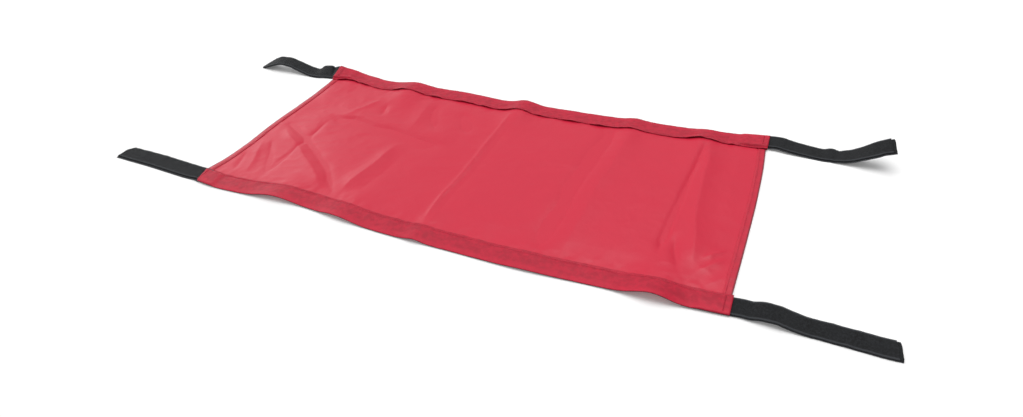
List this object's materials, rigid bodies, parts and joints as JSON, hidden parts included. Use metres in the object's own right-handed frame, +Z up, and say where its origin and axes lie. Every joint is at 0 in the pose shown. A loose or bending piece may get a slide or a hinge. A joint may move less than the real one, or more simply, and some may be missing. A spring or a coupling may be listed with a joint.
{
  "type": "gait belt",
  "caption": "Wide wrap-round gait belt of thin coated nylon, with a sewn casing along each long edge and hook-and-loop tapes leaving the casing mouths to wrap and close.",
  "frame": {"origin": "middle of the belt's overall box, at the surface it lies on", "axes": "+X along the belt to its right end, +Y across it to its rear edge, +Z up off the surface"},
  "size_m": [1.0819, 0.38, 0.03],
  "materials": {
    "red_nylon": "thin plain-woven nylon with a polyurethane coat, semi-glossy, red",
    "loop_tape": "woven nylon tape with a brushed loop pile, matte black",
    "hook_tape": "woven nylon tape with moulded-over hooks, matte black",
    "red_thread": "spun polyester sewing thread, red"
  },
  "bodies": {
    "left_half": {"left_panel_cloth": "red_nylon", "left_hem_seam": "red_thread", "front_left_casing": "red_nylon", "front_left_casing_seam": "red_thread", "front_left_end_tack": "red_thread", "front_left_loop_belt": "loop_tape", "front_left_hook_root": "hook_tape", "rear_left_casing": "red_nylon", "rear_left_casing_seam": "red_thread", "rear_left_end_tack": "red_thread", "rear_left_loop_belt": "loop_tape", "rear_left_hook_root": "hook_tape"},
    "right_half": {"right_panel_cloth": "red_nylon", "right_hem_seam": "red_thread", "front_right_casing": "red_nylon", "front_right_casing_seam": "red_thread", "front_right_end_tack": "red_thread", "front_right_loop_belt": "loop_tape", "front_right_hook_root": "hook_tape", "rear_right_casing": "red_nylon", "rear_right_casing_seam": "red_thread", "rear_right_end_tack": "red_thread", "rear_right_loop_belt": "loop_tape", "rear_right_hook_root": "hook_tape"},
    "front_left_loop_tape": {"front_left_loop_tail": "loop_tape"},
    "front_left_hook_tape": {"front_left_hook_tail": "hook_tape"},
    "rear_left_loop_tape": {"rear_left_loop_tail": "loop_tape"},
    "rear_left_hook_tape": {"rear_left_hook_tail": "hook_tape"},
    "front_right_loop_tape": {"front_right_loop_tail": "loop_tape"},
    "front_right_hook_tape": {"front_right_hook_tail": "hook_tape"},
    "rear_right_loop_tape": {"rear_right_loop_tail": "loop_tape"},
    "rear_right_hook_tape": {"rear_right_hook_tail": "hook_tape"}
  },
  "joints": [
    {"name": "panel_fold", "type": "hinge", "parent": "left_half", "child": "right_half", "pos_m": [0, 0, 0.0036], "axis": [0, -1, 0], "range_deg": [0, 120]},
    {"name": "front_left_tape_fold", "type": "hinge", "parent": "left_half", "child": "front_left_loop_tape", "pos_m": [-0.38, -0.16215, 0.0046], "axis": [0, 1, 0], "range_deg": [0, 100]},
    {"name": "front_left_tape_peel", "type": "hinge", "parent": "front_left_loop_tape", "child": "front_left_hook_tape", "pos_m": [-0.38, -0.16215, 0.0046], "axis": [0, 1, 0], "range_deg": [0, 55]},
    {"name": "rear_left_tape_fold", "type": "hinge", "parent": "left_half", "child": "rear_left_loop_tape", "pos_m": [-0.38, 0.17615, 0.0046], "axis": [0, 1, 0], "range_deg": [0, 100]},
    {"name": "rear_left_tape_peel", "type": "hinge", "parent": "rear_left_loop_tape", "child": "rear_left_hook_tape", "pos_m": [-0.38, 0.17615, 0.0046], "axis": [0, 1, 0], "range_deg": [0, 55]},
    {"name": "front_right_tape_fold", "type": "hinge", "parent": "right_half", "child": "front_right_loop_tape", "pos_m": [0.38, -0.16215, 0.0046], "axis": [0, -1, 0], "range_deg": [0, 100]},
    {"name": "front_right_tape_peel", "type": "hinge", "parent": "front_right_loop_tape", "child": "front_right_hook_tape", "pos_m": [0.38, -0.16215, 0.0046], "axis": [0, -1, 0], "range_deg": [0, 55]},
    {"name": "rear_right_tape_fold", "type": "hinge", "parent": "right_half", "child": "rear_right_loop_tape", "pos_m": [0.38, 0.17615, 0.0046], "axis": [0, -1, 0], "range_deg": [0, 100]},
    {"name": "rear_right_tape_peel", "type": "hinge", "parent": "rear_right_loop_tape", "child": "rear_right_hook_tape", "pos_m": [0.38, 0.17615, 0.0046], "axis": [0, -1, 0], "range_deg": [0, 55]}
  ]
}
